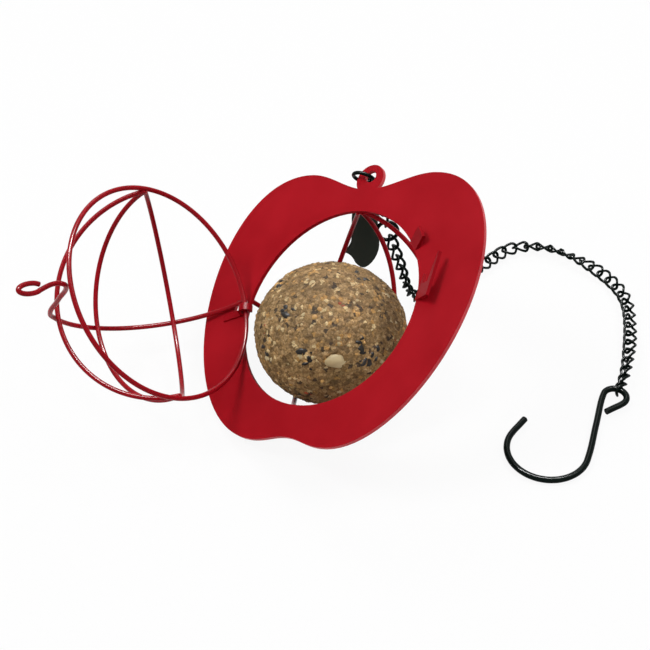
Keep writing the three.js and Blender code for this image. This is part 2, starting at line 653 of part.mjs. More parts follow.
const lastCentre = joints.at(-1).clone().lerp(joints.at(-2), 0.5);
const hookLength = HOOK_SHANK + HOOK_BOWL_RADIUS;
hook.position.copy(lastCentre).addScaledVector(lastAlong, HOOK_SEAT + HOOK_EYE_RADIUS);
const hookDip = Math.asin((hook.position.z - HOOK_WIRE / 2) / (hookLength + HOOK_WIRE / 2));
hook.rotation.set(hookDip, 0, radians(HOOK_TURN), 'ZXY');
object.add(hook);

// Origin at the middle of the base
const box = new THREE.Box3().setFromObject(object, true);
object.position.set(-(box.min.x + box.max.x) / 2, -(box.min.y + box.max.y) / 2, -box.min.z);
object.updateMatrixWorld(true);

export default object;
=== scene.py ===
# %% [markdown]
# A fat ball feeder lies on a pale floor with its wire door open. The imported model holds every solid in
# its place, so this script only has to dress it: finer wires, a painted sheet with soft edges, twisted
# links, and a food ball of crumbs and seeds.

import json
import math
import random

import bpy
import numpy as np
from mathutils import Matrix, Vector, noise


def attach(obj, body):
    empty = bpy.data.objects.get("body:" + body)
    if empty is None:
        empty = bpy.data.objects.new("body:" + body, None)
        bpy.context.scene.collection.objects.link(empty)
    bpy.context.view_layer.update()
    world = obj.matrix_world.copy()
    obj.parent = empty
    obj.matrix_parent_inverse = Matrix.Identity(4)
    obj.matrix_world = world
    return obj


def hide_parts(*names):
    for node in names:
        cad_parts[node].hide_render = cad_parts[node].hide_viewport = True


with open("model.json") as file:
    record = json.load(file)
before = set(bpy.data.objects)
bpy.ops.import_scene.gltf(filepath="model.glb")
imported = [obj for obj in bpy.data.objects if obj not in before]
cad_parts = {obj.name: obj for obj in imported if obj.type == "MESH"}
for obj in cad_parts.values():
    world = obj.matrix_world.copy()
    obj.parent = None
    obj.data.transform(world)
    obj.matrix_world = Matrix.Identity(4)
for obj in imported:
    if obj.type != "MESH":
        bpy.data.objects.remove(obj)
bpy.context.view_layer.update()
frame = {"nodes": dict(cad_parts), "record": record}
nodes = frame["nodes"]
MM = 0.001

# %% [markdown]
# The camera looks down at the feeder from the front. Its place and its lens decide how strongly the open
# door and the far chain shrink with distance, so both are set before any piece is made.

# %% Camera
CAMERA_PLACE = (-0.01245, -0.50551, 0.45992)
CAMERA_DOWN = 41.0
CAMERA_LENS = 84.6
SENSOR_WIDTH = 36

bpy.ops.object.camera_add(location=CAMERA_PLACE, rotation=(math.radians(90 - CAMERA_DOWN), 0, 0))
camera = bpy.context.object
camera.data.lens = CAMERA_LENS
camera.data.sensor_width = SENSOR_WIDTH
bpy.context.scene.camera = camera
bpy.context.scene.view_settings.view_transform = "Standard"
print("camera at", tuple(round(value, 3) for value in camera.location))

# %% [markdown]
# The floor is a plain pale sheet. To a camera ray part of it glows white, so that the background stays
# clean and only a light shadow is left under the feeder. Glossy paint sees the same white.

# %% Floor
FLOOR_SIZE = 24.0
FLOOR_DROP = 0.4 * MM
FLOOR_GREY = (0.66, 0.66, 0.66, 1)
FLOOR_ROUGHNESS = 0.9
FLOOR_SHINE = 0.1
FLOOR_GLOW = 0.92


def background_rays(tree):
    """1 for a ray that should find a white background, whether seen, mirrored or let through."""
    rays = tree.nodes.new("ShaderNodeLightPath")
    found = rays.outputs["Is Camera Ray"]
    for kind in ("Is Glossy Ray", "Is Transmission Ray"):
        either = tree.nodes.new("ShaderNodeMath")
        either.operation = "MAXIMUM"
        tree.links.new(found, either.inputs[0])
        tree.links.new(rays.outputs[kind], either.inputs[1])
        found = either.outputs[0]
    return found


bpy.ops.mesh.primitive_plane_add(size=FLOOR_SIZE, location=(0, 0, -FLOOR_DROP))
floor = bpy.context.object
floor.name = "floor"
floor_look = bpy.data.materials.new("pale_floor")
floor_look.use_nodes = True
tree = floor_look.node_tree
shader = tree.nodes["Principled BSDF"]
shader.inputs["Base Color"].default_value = FLOOR_GREY
shader.inputs["Roughness"].default_value = FLOOR_ROUGHNESS
shader.inputs["Specular IOR Level"].default_value = FLOOR_SHINE
glow = tree.nodes.new("ShaderNodeEmission")
glow.inputs["Color"].default_value = (1, 1, 1, 1)
share = tree.nodes.new("ShaderNodeMath")
share.operation = "MULTIPLY"
share.inputs[1].default_value = FLOOR_GLOW
blend = tree.nodes.new("ShaderNodeMixShader")
tree.links.new(background_rays(tree), share.inputs[0])
tree.links.new(share.outputs[0], blend.inputs[0])
tree.links.new(shader.outputs[0], blend.inputs[1])
tree.links.new(glow.outputs[0], blend.inputs[2])
tree.links.new(blend.outputs[0], tree.nodes["Material Output"].inputs["Surface"])
floor.data.materials.append(floor_look)

# %% [markdown]
# Soft studio light: large lamps high at the left, at the right and behind, with an even white surround.
# Large lamps light the sheet evenly, and high ones leave the undersides dark. A narrow strip overhead is
# hidden from matt surfaces, so it adds no light to them. It only draws the thin white lines in gloss that
# show how round a wire is.

# %% Lights
SURROUND_LIGHT = 0.42
LAMP_AIM = Vector((0, 0, 0.03))

world = bpy.data.worlds.new("white_surround")
world.use_nodes = True
tree = world.node_tree
surround = tree.nodes["Background"]
surround.inputs["Color"].default_value = (1, 1, 1, 1)
surround_seen = background_rays(tree)
surround_strength = tree.nodes.new("ShaderNodeMapRange")
surround_strength.inputs["To Min"].default_value = SURROUND_LIGHT
tree.links.new(surround_seen, surround_strength.inputs["Value"])
tree.links.new(surround_strength.outputs["Result"], surround.inputs["Strength"])
bpy.context.scene.world = world


def studio_lamp(name, place, width, depth, power):
    bpy.ops.object.light_add(type="AREA", location=place)
    lamp = bpy.context.object
    lamp.name = name
    lamp.data.shape = "RECTANGLE"
    lamp.data.size = width
    lamp.data.size_y = depth
    lamp.data.energy = power
    aim = LAMP_AIM - Vector(place)
    lamp.rotation_euler = aim.to_track_quat("-Z", "Y").to_euler()
    return lamp


studio_lamp("lamp_left", (-0.70, -0.05, 1.0), width=0.38, depth=0.38, power=7.2)
studio_lamp("lamp_right", (0.65, 0.05, 1.1), width=0.5, depth=0.5, power=7.3)
studio_lamp("lamp_behind", (0.1, 0.9, 0.9), width=0.5, depth=0.3, power=3.6)
gloss_strip = studio_lamp("lamp_strip", (-0.05, 0.20, 1.1), width=0.9, depth=0.08, power=140.0)
gloss_strip.visible_diffuse = False

# %% [markdown]
# Every piece goes through the same last steps: its place is pressed into its mesh, it gets a finish, it
# rides on a body and it stands for the solid that it dresses.

# %% Last steps for a piece
WIRE_SMOOTHING = 60
SOFT_SMOOTHING = 80


def only(piece):
    bpy.ops.object.select_all(action="DESELECT")
    piece.select_set(True)
    bpy.context.view_layer.objects.active = piece


def settle(piece, place):
    piece.data.transform(place)
    piece.matrix_world = Matrix.Identity(4)
    piece.data.update()


def apply_modifiers(piece):
    only(piece)
    for modifier in list(piece.modifiers):
        bpy.ops.object.modifier_apply(modifier=modifier.name)


def smooth(piece, angle=WIRE_SMOOTHING):
    only(piece)
    bpy.ops.object.shade_smooth_by_angle(angle=math.radians(angle))


def hand_over(piece, name, body, slot, finish, *stands_for):
    piece.name = name
    piece.data.name = name
    if not piece.data.materials:
        piece.data.materials.append(finish)
    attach(piece, body)
    if stands_for:
        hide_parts(*stands_for)


# %% [markdown]
# The finishes come next. Sprayed red paint on sheet steel is nearly one colour and has a fine orange-peel
# skin; its edges get a lighter red, a painted highlight. The colour wanders a little over some centimetres,
# and the dimples of the skin lie about a millimetre apart.

# %% Paint and black coating
DRIFT_SCALE = 45
DRIFT_DETAIL = 4
DRIFT_STOPS = (0.35, 0.68)
SKIN_SCALE = 900
SKIN_DETAIL = 2
SKIN_DEPTH = 0.2 * MM
SMOOTHER = 0.06
ROUGHER = 0.08


def coated_steel(name, deep, light, rough, peel, shine):
    """A coating that wanders between two colours, with a fine bumpy skin."""
    look = bpy.data.materials.new(name)
    look.use_nodes = True
    tree = look.node_tree
    shader = tree.nodes["Principled BSDF"]
    where = tree.nodes.new("ShaderNodeTexCoord")
    drift = tree.nodes.new("ShaderNodeTexNoise")
    drift.inputs["Scale"].default_value = DRIFT_SCALE
    drift.inputs["Detail"].default_value = DRIFT_DETAIL
    ramp = tree.nodes.new("ShaderNodeValToRGB")
    for stop, position, colour in zip(ramp.color_ramp.elements, DRIFT_STOPS, (deep, light)):
        stop.position = position
        stop.color = (*colour, 1)
    skin = tree.nodes.new("ShaderNodeTexNoise")
    skin.inputs["Scale"].default_value = SKIN_SCALE
    skin.inputs["Detail"].default_value = SKIN_DETAIL
    bump = tree.nodes.new("ShaderNodeBump")
    bump.inputs["Strength"].default_value = peel
    bump.inputs["Distance"].default_value = SKIN_DEPTH
    gloss = tree.nodes.new("ShaderNodeMapRange")
    gloss.inputs["To Min"].default_value = rough - SMOOTHER
    gloss.inputs["To Max"].default_value = rough + ROUGHER
    for texture in (drift, skin):
        tree.links.new(where.outputs["Object"], texture.inputs["Vector"])
    tree.links.new(drift.outputs["Fac"], ramp.inputs["Fac"])
    tree.links.new(drift.outputs["Fac"], gloss.inputs["Value"])
    tree.links.new(ramp.outputs["Color"], shader.inputs["Base Color"])
    tree.links.new(gloss.outputs["Result"], shader.inputs["Roughness"])
    tree.links.new(skin.outputs["Fac"], bump.inputs["Height"])
    tree.links.new(bump.outputs["Normal"], shader.inputs["Normal"])
    shader.inputs["Specular IOR Level"].default_value = shine
    return look


RED_DEEP = (0.298, 0.0042, 0.0092)
RED_LIGHT = (0.346, 0.0058, 0.0120)
EDGE_HIGHLIGHT_DEEP = (0.47, 0.042, 0.052)
EDGE_HIGHLIGHT_PALE = (0.57, 0.068, 0.078)
WIRE_DEEP = (0.235, 0.0024, 0.0066)
WIRE_LIGHT = (0.305, 0.0038, 0.0096)
BLACK_DEEP = (0.0010, 0.0034, 0.0025)
BLACK_LIGHT = (0.0030, 0.0068, 0.0052)
LEAF_DEEP = (0.0135, 0.0172, 0.0112)
LEAF_LIGHT = (0.0185, 0.0222, 0.0152)

red_sheet = coated_steel("red_sheet_paint", RED_DEEP, RED_LIGHT, rough=0.42, peel=0.10, shine=0.016)
# The edge paint is a lighter red: a painted highlight on the rounded and cut edges of the plate.
edge_highlight_paint = coated_steel("painted_edge_highlight", EDGE_HIGHLIGHT_DEEP, EDGE_HIGHLIGHT_PALE, rough=0.34, peel=0.05, shine=0.08)
red_wire = coated_steel("red_wire_paint", WIRE_DEEP, WIRE_LIGHT, rough=0.20, peel=0.04, shine=0.065)
# The tab paint is the wire's darker red with little gloss: painted shade on the folded tabs and the hinge
# strap.
tab_shade_paint = coated_steel("tab_painted_shade", WIRE_DEEP, WIRE_LIGHT, rough=0.30, peel=0.05, shine=0.02)
black_coat = coated_steel("black_coating", BLACK_DEEP, BLACK_LIGHT, rough=0.17, peel=0.03, shine=0.04)
leaf_coat = coated_steel("leaf_coating", LEAF_DEEP, LEAF_LIGHT, rough=0.50, peel=0.15, shine=0.08)
print("finishes so far", [look.name for look in bpy.data.materials])

# %% [markdown]
# The plate is a sheet of steel cut as an apple. Its flat shape is already right in the imported model, so a
# copy is taken, its loose triangles are merged into whole faces, and a bevel rounds every cut edge. The
# bevel paints its own faces a lighter red, a painted highlight along the edges. Weighted normals then keep
# the large faces level, so that only the rounded edges catch the light.

# %% Apple plate
EDGE_ROUNDING = 0.32 * MM
EDGE_STEPS = 3
EDGE_ANGLE = 32
MERGE_DISTANCE = 0.002 * MM
FLAT_ANGLE = 0.6
LEVEL_WEIGHT = 100
EDGE_HIGHLIGHT_SLOT = 1


def soft_copy(node, rounding, finish, edge_finish):
    """A copy of a solid with merged faces and rounded edges."""
    only(nodes[node])
    bpy.ops.object.duplicate()
    piece = bpy.context.object
    piece.parent = None
    for key in list(piece.keys()):
        del piece[key]
    only(piece)
    bpy.ops.object.mode_set(mode="EDIT")
    bpy.ops.mesh.select_all(action="SELECT")
    bpy.ops.mesh.remove_doubles(threshold=MERGE_DISTANCE)
    bpy.ops.mesh.dissolve_limited(angle_limit=math.radians(FLAT_ANGLE))
    bpy.ops.object.mode_set(mode="OBJECT")
    piece.data.materials.clear()
    piece.data.materials.append(finish)
    piece.data.materials.append(edge_finish)
    bevel = piece.modifiers.new("rounded_edges", "BEVEL")
    bevel.width = rounding
    bevel.segments = EDGE_STEPS
    bevel.limit_method = "ANGLE"
    bevel.angle_limit = math.radians(EDGE_ANGLE)
    # The bevel's faces take the second finish; on the plate that is the lighter red of a painted edge
    # highlight.
    bevel.material = EDGE_HIGHLIGHT_SLOT
    apply_modifiers(piece)
    smooth(piece, SOFT_SMOOTHING)
    level = piece.modifiers.new("level_faces", "WEIGHTED_NORMAL")
    level.weight = LEVEL_WEIGHT
    apply_modifiers(piece)
    return piece


plate = soft_copy("apple_plate", EDGE_ROUNDING, red_sheet, edge_highlight_paint)
hand_over(plate, "plate", "frame", "red_plate", red_sheet, "apple_plate")
print("plate faces", len(plate.data.polygons))

# %% [markdown]
# The leaf is a dark sheet that hangs behind the plate. It is dressed the same way, with a smaller edge.

# %% Leaf
LEAF_ROUNDING = 0.2 * MM

leaf = soft_copy("leaf", LEAF_ROUNDING, leaf_coat, leaf_coat)
hand_over(leaf, "leaf_sheet", "leaf", "dark_leaf", leaf_coat, "leaf")

# %% [markdown]
# Two frames of reference carry all red wires: the plate's own, from the way the feeder lies, and the
# door's, which is the plate's turned open about the hinge. Wires are modelled in millimetres, so the frames
# also bring them to metres.

# %% Frames of the plate and the door
HOLE_CENTRE = (-0.01115, -0.01561, 0.04462)
LIE_TILT = 32.8
LIE_ROLL = -23.1
LIE_TURN = -34.4
HOLE_RADIUS = 45
PLATE_THICKNESS = 1.8
WIRE_DIAMETER = 2.1
WIRE_GAP = 0.3
DOOR_RING_RADIUS = 46.5
HINGE_PLACE = (-44.1, -4.295, 2.25)
HINGE_LEAN = 18.4
HINGE_DROP = 5.3
DOOR_OPEN = 101


def turn(degrees, axis):
    return Matrix.Rotation(math.radians(degrees), 4, axis)


lie = turn(LIE_TURN, "Z") @ turn(LIE_ROLL, "Y") @ turn(LIE_TILT, "X")
plate_frame = Matrix.Translation(HOLE_CENTRE) @ lie @ Matrix.Scale(MM, 4)
lean = math.radians(HINGE_LEAN)
drop = math.radians(HINGE_DROP)
door_frame = plate_frame @ Matrix.Translation(HINGE_PLACE)
door_frame = door_frame @ turn(DOOR_OPEN, Vector((math.sin(lean), -math.cos(lean), 0)))
ring_middle = Vector((math.cos(drop), math.sin(drop), 0)) * DOOR_RING_RADIUS
door_frame = door_frame @ Matrix.Translation(ring_middle)
print("door middle", tuple(round(value, 4) for value in door_frame.translation))

# %% [markdown]
# With the plate's frame known, its cut sides can be told from its flat faces: they stand square to the
# sheet and lie within its thickness. On the outline they get the lighter edge red too, a painted highlight
# on the cut side. The sides of the round hole get no painted highlight and keep the plain red. The folded
# tabs and the hinge strap, which stand proud of the sheet, get a darker red, painted shade on them.

# %% Cut sides and folds of the plate
FOLD_RISE = 0.5
TAB_SHADE_SLOT = 2
SQUARE_LIMIT = 0.5

into_plate = plate_frame.inverted()
plate_up = (plate_frame.to_3x3() @ Vector((0, 0, 1))).normalized()
cut_sides = 0
plate.data.materials.append(tab_shade_paint)
for face in plate.data.polygons:
    spot = into_plate @ face.center
    # Faces proud of the sheet get the darker red as painted shade; square cut sides on the outline get the
    # lighter red as a painted highlight.
    if spot.z > FOLD_RISE and face.material_index == 0:
        face.material_index = TAB_SHADE_SLOT
    square = abs(plate_up.dot(face.normal)) < SQUARE_LIMIT
    if square and -PLATE_THICKNESS < spot.z < 0 and spot.xy.length > HOLE_RADIUS + PLATE_THICKNESS:
        face.material_index = EDGE_HIGHLIGHT_SLOT
        cut_sides += 1
print("cut side faces", cut_sides)

# %% [markdown]
# The door is a wire ring with three half hoops over it. A torus gives the ring. A half hoop is a torus cut
# through by a plane, with its cut ends filled, which keeps the wire round all along the bend.

# %% Door ring and half hoops
WIRE_RADIUS = WIRE_DIAMETER / 2
WIRE_STEP = WIRE_DIAMETER + WIRE_GAP
HOOP_RADIUS = DOOR_RING_RADIUS - WIRE_STEP / 2
DOOR_HOOP_ANGLES = (53, 90, 135)
RING_SIDES = 160
WIRE_SIDES = 16


def wire_ring(radius, thickness, around=RING_SIDES, sides=WIRE_SIDES):
    bpy.ops.object.select_all(action="DESELECT")
    bpy.ops.mesh.primitive_torus_add(
        major_radius=radius, minor_radius=thickness / 2, major_segments=around, minor_segments=sides
    )
    return bpy.context.object


def cut_away(piece, point, outward):
    """Removes what lies beyond a plane and closes the cut ends."""
    only(piece)
    bpy.ops.object.mode_set(mode="EDIT")
    bpy.ops.mesh.select_all(action="SELECT")
    bpy.ops.mesh.bisect(plane_co=point, plane_no=outward, use_fill=True, clear_outer=True)
    bpy.ops.object.mode_set(mode="OBJECT")


door_ring = wire_ring(DOOR_RING_RADIUS, WIRE_DIAMETER)
smooth(door_ring)
settle(door_ring, door_frame)
hand_over(door_ring, "door_rim", "door", "red_wire", red_wire, "door_ring")

for number, angle in enumerate(DOOR_HOOP_ANGLES, 1):
    hoop = wire_ring(HOOP_RADIUS, WIRE_DIAMETER)
    cut_away(hoop, (0, 0, 0), (-1, 0, 0))
    smooth(hoop)
    settle(hoop, door_frame @ turn(-angle, "Y"))
    hand_over(hoop, f"door_half_hoop_{number}", "door", "red_wire", red_wire, f"door_hoop_{number}")

# %% [markdown]
# The rear cage is made of the same half hoops, but they end on the back of the plate, so the cut follows
# the plate instead of the middle of the torus. One more hoop crosses them behind the ball.

# %% Rear cage
REAR_HOOP_ANGLES = (45, 90, 135)
CROSS_HOOP_HEIGHT = 1.955
CROSS_HOOP_RADIUS = math.sqrt(HOOP_RADIUS**2 - CROSS_HOOP_HEIGHT**2) + WIRE_STEP


def rear_wire(piece, place, name, node):
    settle(piece, place)
    cut_away(piece, (0, 0, -PLATE_THICKNESS), (0, 0, 1))
    smooth(piece)
    settle(piece, plate_frame)
    hand_over(piece, name, "frame", "red_wire", red_wire, node)


for number, angle in enumerate(REAR_HOOP_ANGLES, 1):
    hoop = wire_ring(HOOP_RADIUS, WIRE_DIAMETER)
    cut_away(hoop, (0, 0, 0), (-1, 0, 0))
    rear_wire(hoop, turn(angle, "Y"), f"rear_half_hoop_{number}", f"rear_hoop_{number}")

cross = wire_ring(CROSS_HOOP_RADIUS, WIRE_DIAMETER)
cross_place = Matrix.Translation((0, CROSS_HOOP_HEIGHT, 0)) @ turn(90, "X")
rear_wire(cross, cross_place, "rear_cross_wire", "rear_cross_hoop")

# %% [markdown]
# Some wires bend more than one way: the door's cross wire ends in a handle loop, and the black hook has an
# eye, a shank and a bowl. These follow a curve with smooth handles, which is given the wire's thickness
# and is then made a mesh.

# %% Door cross wire with its handle loop
CROSS_RADIUS = DOOR_RING_RADIUS + WIRE_STEP / 2
CROSS_BEND_ANGLE = 49
HANDLE_BEND = 2
HANDLE_STEM = 10
HANDLE_LOOP_LENGTH = 13.6
HANDLE_LOOP_WIDTH = 6.2
HANDLE_LOOP_DROP = 3.3
HANDLE_LOOP_TURN = -13
HANDLE_LOOP_START = 215
HANDLE_LOOP_END = 508
DOME_STEPS = 18
LOOP_STEPS = 14
CURVE_STEPS = 6
CURVE_ROUNDNESS = 6


def bent_wire(points, thickness):
    bpy.ops.object.select_all(action="DESELECT")
    bpy.ops.curve.primitive_bezier_curve_add()
    piece = bpy.context.object
    piece.data.dimensions = "3D"
    piece.data.resolution_u = CURVE_STEPS
    piece.data.bevel_depth = thickness / 2
    piece.data.bevel_resolution = CURVE_ROUNDNESS
    piece.data.use_fill_caps = True
    spline = piece.data.splines[0]
    spline.bezier_points.add(len(points) - len(spline.bezier_points))
    for knot, point in zip(spline.bezier_points, points):
        knot.co = point
        knot.handle_left_type = "AUTO"
        knot.handle_right_type = "AUTO"
    only(piece)
    bpy.ops.object.convert(target="MESH")
    piece = bpy.context.object
    smooth(piece)
    return piece


def arc(middle, radius, start, end, steps):
    """Points of an arc in the XY plane, by angle in degrees."""
    points = []
    for step in range(steps + 1):
        angle = math.radians(start + (end - start) * step / steps)
        aside = Vector((math.cos(angle), math.sin(angle), 0)) * radius
        points.append(Vector((*middle, 0)) + aside)
    return points


def cross_wire_points():
    level = WIRE_STEP
    first = math.degrees(math.asin((WIRE_RADIUS + WIRE_GAP) / CROSS_RADIUS))
    over_dome = arc((0, 0), CROSS_RADIUS, first, 180 - CROSS_BEND_ANGLE, DOME_STEPS)
    points = [Vector((-point.x, 0, point.y)) for point in over_dome]
    bend = points[-1].copy()
    corner = Vector((DOOR_RING_RADIUS, 0, level))
    for share in (1 / 2, 1 - HANDLE_BEND / (corner - bend).length):
        points.append(bend.lerp(corner, share))
    for reach in (HANDLE_BEND, HANDLE_STEM / 2):
        points.append(Vector((DOOR_RING_RADIUS + reach, 0, level)))
    half_length = (HANDLE_LOOP_LENGTH - WIRE_DIAMETER) / 2
    half_width = (HANDLE_LOOP_WIDTH - WIRE_DIAMETER) / 2
    loop_reach = DOOR_RING_RADIUS + HANDLE_STEM + WIRE_DIAMETER + half_length
    middle = Vector((loop_reach, -HANDLE_LOOP_DROP, level))
    for point in arc((0, 0), 1, HANDLE_LOOP_START, HANDLE_LOOP_END, LOOP_STEPS):
        on_loop = Vector((half_length * point.x, half_width * point.y, 0))
        points.append(middle + turn(HANDLE_LOOP_TURN, "Z") @ on_loop)
    return points


cross_wire = bent_wire(cross_wire_points(), WIRE_DIAMETER)
settle(cross_wire, door_frame)
hand_over(cross_wire, "door_cross_wire_and_loop", "door", "red_wire", red_wire, "door_cross_wire")

# %% [markdown]
# The hook is bent from thicker black wire. It lies flat, a little lower at its bowl than at its eye.

# %% Hook
HOOK_EYE = (0.11287, -0.02753, 0.00325)
HOOK_WIRE = 2.8
HOOK_BOWL_RADIUS = 17
HOOK_SHANK = 38.5
HOOK_TIP = 9
HOOK_TIP_ANGLE = 201
HOOK_EYE_RADIUS = 5
HOOK_TURN = -17
EYE_TAIL = 8.8
EYE_TAIL_ANGLE = -42
EYE_STEPS = 8
BOWL_STEPS = 14


def hook_points():
    tail = math.radians(EYE_TAIL_ANGLE)
    tail_way = Vector((math.sin(tail), -math.cos(tail), 0))
    eye = arc((0, 0), HOOK_EYE_RADIUS, EYE_TAIL_ANGLE, 180, EYE_STEPS)
    points = [eye[0] + tail_way * EYE_TAIL, eye[0] + tail_way * EYE_TAIL / 2] + eye
    points.append(Vector((-HOOK_EYE_RADIUS, -HOOK_SHANK / 2, 0)))
    bowl = (-HOOK_EYE_RADIUS - HOOK_BOWL_RADIUS, -HOOK_SHANK)
    points += arc(bowl, HOOK_BOWL_RADIUS, 0, -HOOK_TIP_ANGLE, BOWL_STEPS)
    sweep = math.radians(HOOK_TIP_ANGLE)
    tip_way = Vector((-math.sin(sweep), abs(math.cos(sweep)), 0))
    end = points[-1].copy()
    points.append(end + tip_way * HOOK_TIP / 2)
    points.append(end + tip_way * HOOK_TIP)
    return points


hook = bent_wire(hook_points(), HOOK_WIRE)
hook_reach = (HOOK_SHANK + HOOK_BOWL_RADIUS + HOOK_WIRE / 2) * MM
hook_dip = math.asin((HOOK_EYE[2] - HOOK_WIRE / 2 * MM) / hook_reach)
hook_place = Matrix.Translation(HOOK_EYE) @ turn(HOOK_TURN, "Z") @ turn(math.degrees(hook_dip), "X")
settle(hook, hook_place @ Matrix.Scale(MM, 4))
hand_over(hook, "hanging_hook", "hook", "black_steel", black_coat, "hook")

# %% [markdown]
# The chain is the finest work on the object. Each link is a small ring of black wire, drawn out to an oval
# and twisted a quarter turn along its length, so that the links lie flat one after another. One link is
# modelled and copied. Each copy takes its place from the solid that it stands for, by that solid's middle
# and its longest and widest directions, which a twisted oval shows clearly.

# %% Twisted links
LINK_LENGTH = 8.75
LINK_WIDTH = 6.5
LINK_WIRE = 1.3
LINK_TWIST = 90
LINK_COUNT = 45
LINK_HALF = (LINK_LENGTH - LINK_WIRE) / 2
LINK_BEND = (LINK_WIDTH - LINK_WIRE) / 2
LINK_STEPS = 28
LINK_SIDES = 10
SAME_PLACE = 0.001


def twisted_link():
    link = wire_ring(LINK_BEND, LINK_WIRE, LINK_STEPS, LINK_SIDES)
    for vertex in link.data.vertices:
        if abs(vertex.co.x) > SAME_PLACE:
            vertex.co.x += math.copysign(LINK_HALF - LINK_BEND, vertex.co.x)
        part = max(-0.5, min(0.5, vertex.co.x / (2 * LINK_HALF)))
        vertex.co = turn(LINK_TWIST * part, "X") @ vertex.co
    smooth(link)
    return link


def place_of(node):
    """Middle and main directions of a solid, as a frame in millimetres."""
    corners = np.array([vertex.co for vertex in nodes[node].data.vertices])
    corners = np.unique(np.round(corners, 7), axis=0)
    middle = corners.mean(axis=0)
    ways = np.linalg.eigh(np.cov((corners - middle).T))[1]
    along = Vector(ways[:, 2])
    wide = Vector(ways[:, 1])
    frame_of_link = Matrix((along, wide, along.cross(wide))).transposed().to_4x4()
    return Matrix.Translation(Vector(middle)) @ frame_of_link @ Matrix.Scale(MM, 4)


bodies_of_node = {}
for body, members in frame["record"]["behaviour"]["bodies"].items():
    for member in members:
        bodies_of_node[member] = body

master_link = twisted_link()
for number in range(1, LINK_COUNT + 1):
    node = f"chain_link_{number:02d}"
    link = master_link.copy()
    link.data = master_link.data.copy()
    bpy.context.scene.collection.objects.link(link)
    settle(link, place_of(node))
    hand_over(link, f"twisted_link_{number:02d}", bodies_of_node[node], "black_steel", black_coat, node)
bpy.data.objects.remove(master_link)
print("links", LINK_COUNT)

# %% [markdown]
# Two rings of slightly thicker wire join the chain to the ear. A bent ring has a seam where its ends meet,
# so a thin slit is cut through each one. A ring is flat, so the direction in which its solid is thinnest
# gives its axis.

# %% Ear ring and chain ring
RING_WIRE = 1.7
RING_RADIUS = 4.6
RING_SLIT = 0.16
RING_STEPS = 64
RING_WIRE_SIDES = 14


def split_ring(node, name):
    ring = wire_ring(RING_RADIUS, RING_WIRE, RING_STEPS, RING_WIRE_SIDES)
    only(ring)
    bpy.ops.object.duplicate()
    other = bpy.context.object
    cut_away(ring, (0, -RING_SLIT / 2, 0), (0, 1, 0))
    cut_away(other, (0, 0, 0), (0, -1, 0))
    for vertex in ring.data.vertices:
        if vertex.co.x < 0 and abs(vertex.co.y + RING_SLIT / 2) < SAME_PLACE:
            vertex.co.y = 0
    bpy.ops.object.select_all(action="DESELECT")
    ring.select_set(True)
    other.select_set(True)
    bpy.context.view_layer.objects.active = ring
    bpy.ops.object.join()
    smooth(ring)
    settle(ring, place_of(node))
    hand_over(ring, name, bodies_of_node[node], "black_steel", black_coat, node)


split_ring("ear_ring", "ring_in_ear")
split_ring("chain_ring", "ring_in_chain")

# %% [markdown]
# The food ball is pressed from fat, crushed grain and seeds. A fine ball is pushed in, crumb by crumb: a
# cell pattern gives each crumb its own height and its own shade, and a slow noise makes the ball uneven.
# The shade is kept on the mesh, so that the colour follows the crumbs.

# %% Food ball
BALL_CENTRE = Vector((-0.01005, -0.01661, 0.03047))
BALL_RADIUS = 33.5
BALL_HALF_HEIGHT = 30
CRUMB_SIZE = 2.9
CRUMB_DEPTH = 0.55
GRIT_SIZE = 1.25
GRIT_DEPTH = 0.36
LUMP_SIZE = 16
LUMP_DEPTH = 0.9
CRUMB_STEEPNESS = 2.2
SHADE_STEP = 37.7
LEAST_CRUMB = 0.25
LEAST_GRIT = 0.4
CRUMB_SHARE = 0.62
BALL_ROUNDS = 6
BALL_CUTS = 2


def crumb_at(point, size):
    """Height of the crumb at a place, from 0 at its edge to 1, and a shade from 0 to 1."""
    distances, places = noise.voronoi(point / size)
    height = max(0.0, min(1.0, (distances[1] - distances[0]) * CRUMB_STEEPNESS))
    return height, noise.cell(places[0] * SHADE_STEP) % 1.0


def ball_surface(way):
    """Place on the crumbled surface in a direction from the middle, and the shade there."""
    flat = Vector((way.x * BALL_RADIUS, way.y * BALL_RADIUS, way.z * BALL_HALF_HEIGHT))
    crumb, shade = crumb_at(flat, CRUMB_SIZE)
    grit, grit_shade = crumb_at(flat, GRIT_SIZE)
    lump = 0.5 + 0.5 * noise.noise(flat / LUMP_SIZE)
    depth = CRUMB_DEPTH * (1 - crumb * (LEAST_CRUMB + (1 - LEAST_CRUMB) * shade))
    depth += GRIT_DEPTH * (1 - grit * (LEAST_GRIT + (1 - LEAST_GRIT) * grit_shade))
    depth += LUMP_DEPTH * (1 - lump)
    return flat - way * depth, CRUMB_SHARE * shade + (1 - CRUMB_SHARE) * grit_shade


bpy.ops.object.select_all(action="DESELECT")
bpy.ops.mesh.primitive_ico_sphere_add(subdivisions=BALL_ROUNDS, radius=1)
ball = bpy.context.object
bpy.ops.object.mode_set(mode="EDIT")
bpy.ops.mesh.select_all(action="SELECT")
bpy.ops.mesh.subdivide(number_cuts=BALL_CUTS)
bpy.ops.object.mode_set(mode="OBJECT")
shades = []
for vertex in ball.data.vertices:
    vertex.co, shade = ball_surface(vertex.co.normalized())
    shades.append(shade)
shade_layer = ball.data.attributes.new("crumb_shade", "FLOAT", "POINT")
shade_layer.data.foreach_set("value", shades)
smooth(ball, SOFT_SMOOTHING)
print("ball faces", len(ball.data.polygons))
